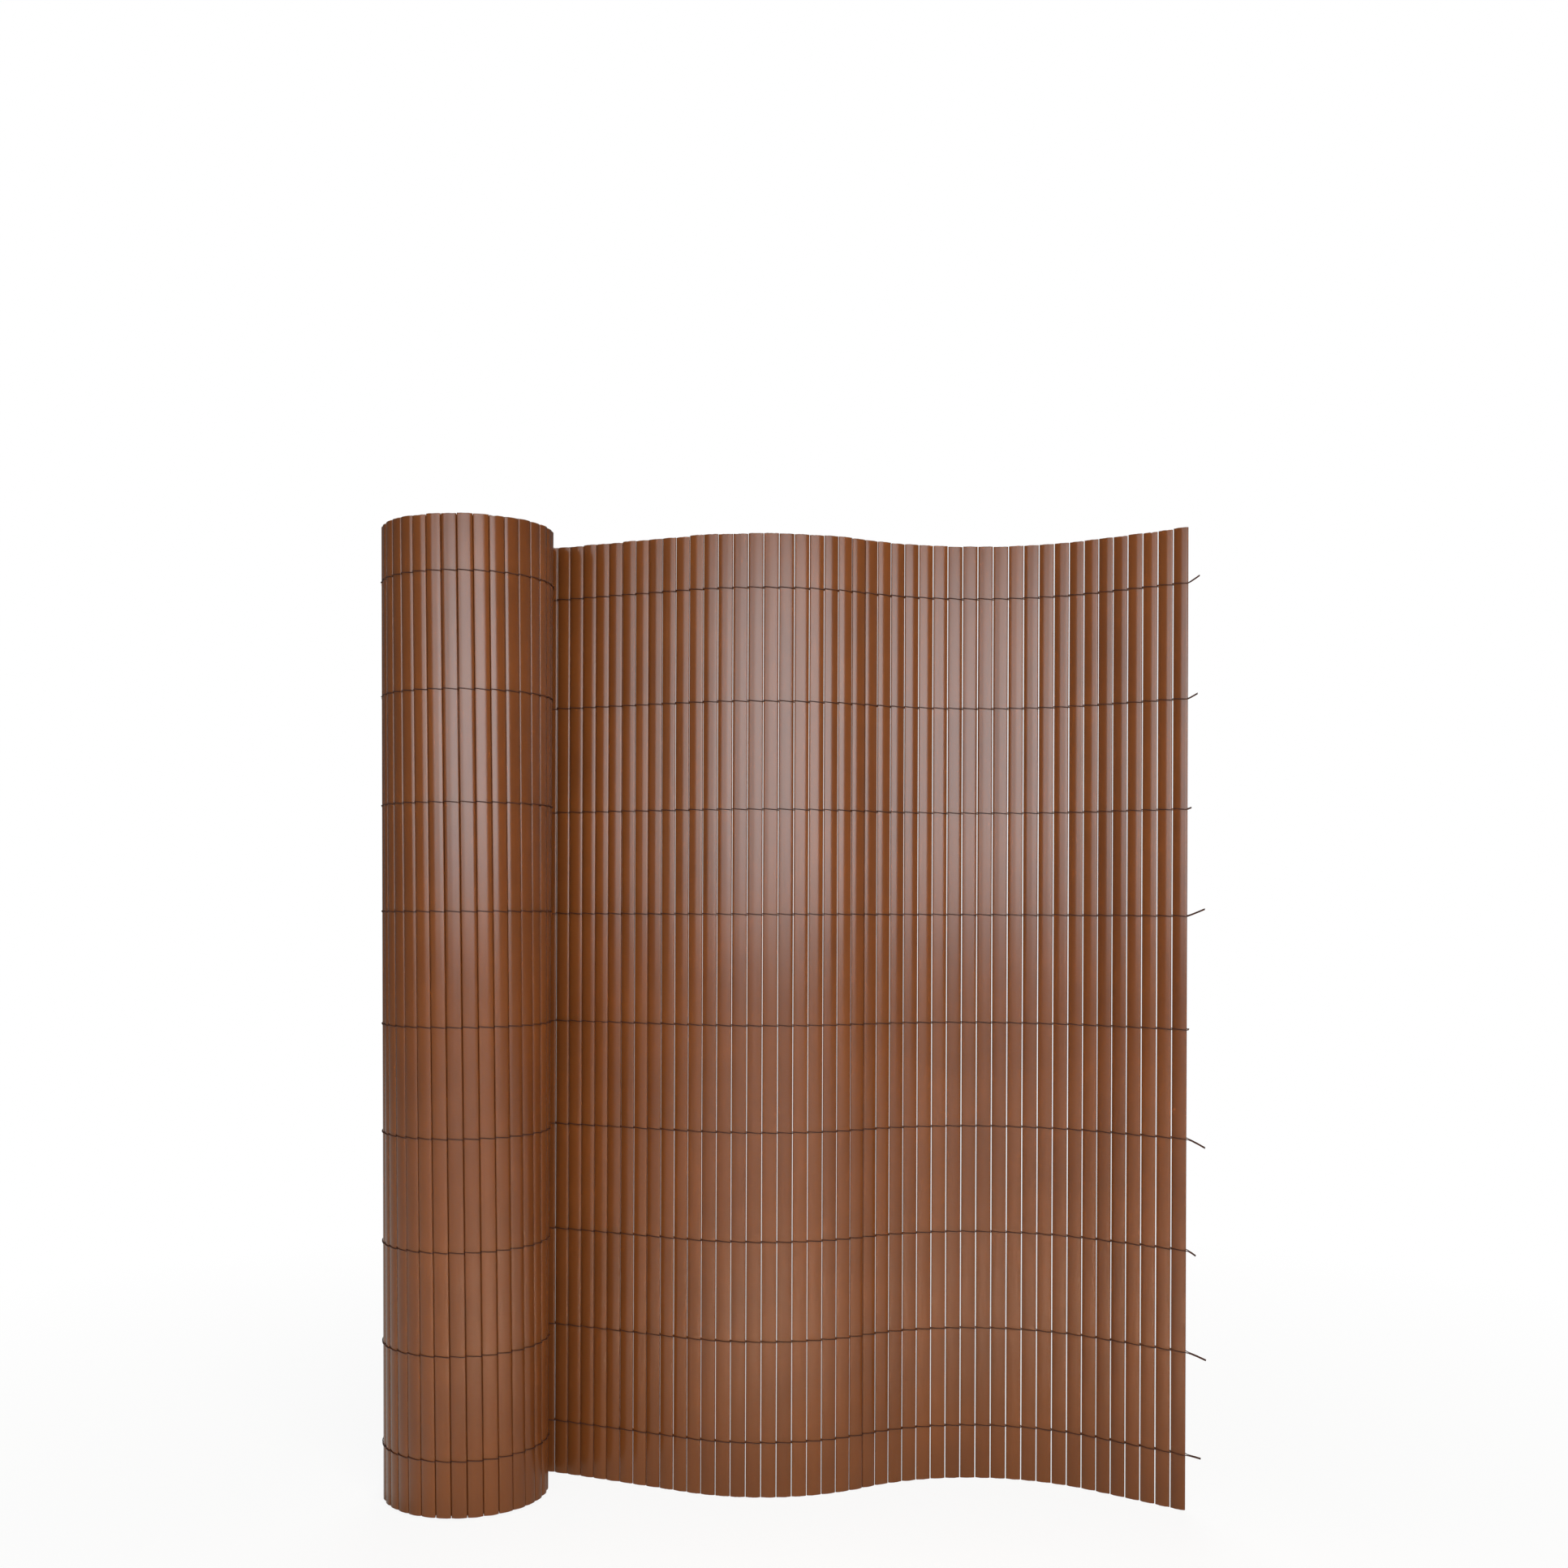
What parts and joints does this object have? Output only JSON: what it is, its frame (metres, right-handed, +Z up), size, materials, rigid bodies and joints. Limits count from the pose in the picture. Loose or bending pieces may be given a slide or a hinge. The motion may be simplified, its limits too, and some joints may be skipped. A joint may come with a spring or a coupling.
{
  "type": "pvc privacy screen mat",
  "caption": "Half-unrolled screen mat of upright hollow plastic slats bound by twisted wire rows, standing on its end with one end still wound in a roll; hides a fence or railing.",
  "frame": {"origin": "on the floor, under the middle of the standing mat's box", "axes": "+X along the mat from the roll to the free edge, +Y away from the viewer, +Z up along the slats"},
  "size_m": [0.7559, 0.1586, 0.9],
  "materials": {
    "slat_pvc": "semi-gloss extruded brown PVC",
    "binding_wire": "dark brown plastic-coated wire"
  },
  "bodies": {
    "root": {"slat_01": "slat_pvc", "slat_02": "slat_pvc", "slat_03": "slat_pvc", "slat_04": "slat_pvc", "slat_05": "slat_pvc", "slat_06": "slat_pvc", "slat_07": "slat_pvc", "slat_08": "slat_pvc", "slat_09": "slat_pvc", "slat_10": "slat_pvc", "slat_11": "slat_pvc", "slat_12": "slat_pvc", "slat_13": "slat_pvc", "slat_14": "slat_pvc", "slat_15": "slat_pvc", "slat_16": "slat_pvc", "slat_17": "slat_pvc", "slat_18": "slat_pvc", "slat_19": "slat_pvc", "slat_20": "slat_pvc", "slat_21": "slat_pvc", "slat_22": "slat_pvc", "slat_23": "slat_pvc", "slat_24": "slat_pvc", "slat_25": "slat_pvc", "slat_26": "slat_pvc", "slat_27": "slat_pvc", "slat_28": "slat_pvc", "slat_29": "slat_pvc", "slat_30": "slat_pvc", "slat_31": "slat_pvc", "slat_32": "slat_pvc", "slat_33": "slat_pvc", "slat_34": "slat_pvc", "slat_35": "slat_pvc", "slat_36": "slat_pvc", "slat_37": "slat_pvc", "slat_38": "slat_pvc", "slat_39": "slat_pvc", "slat_40": "slat_pvc", "slat_41": "slat_pvc", "slat_42": "slat_pvc", "slat_43": "slat_pvc", "slat_44": "slat_pvc", "slat_45": "slat_pvc", "slat_46": "slat_pvc", "slat_47": "slat_pvc", "slat_48": "slat_pvc", "rolled_slats": "slat_pvc", "binding_wire_1": "binding_wire", "binding_wire_2": "binding_wire", "binding_wire_3": "binding_wire", "binding_wire_4": "binding_wire", "binding_wire_5": "binding_wire", "binding_wire_6": "binding_wire", "binding_wire_7": "binding_wire", "binding_wire_8": "binding_wire", "binding_wire_9": "binding_wire"}
  },
  "joints": []
}
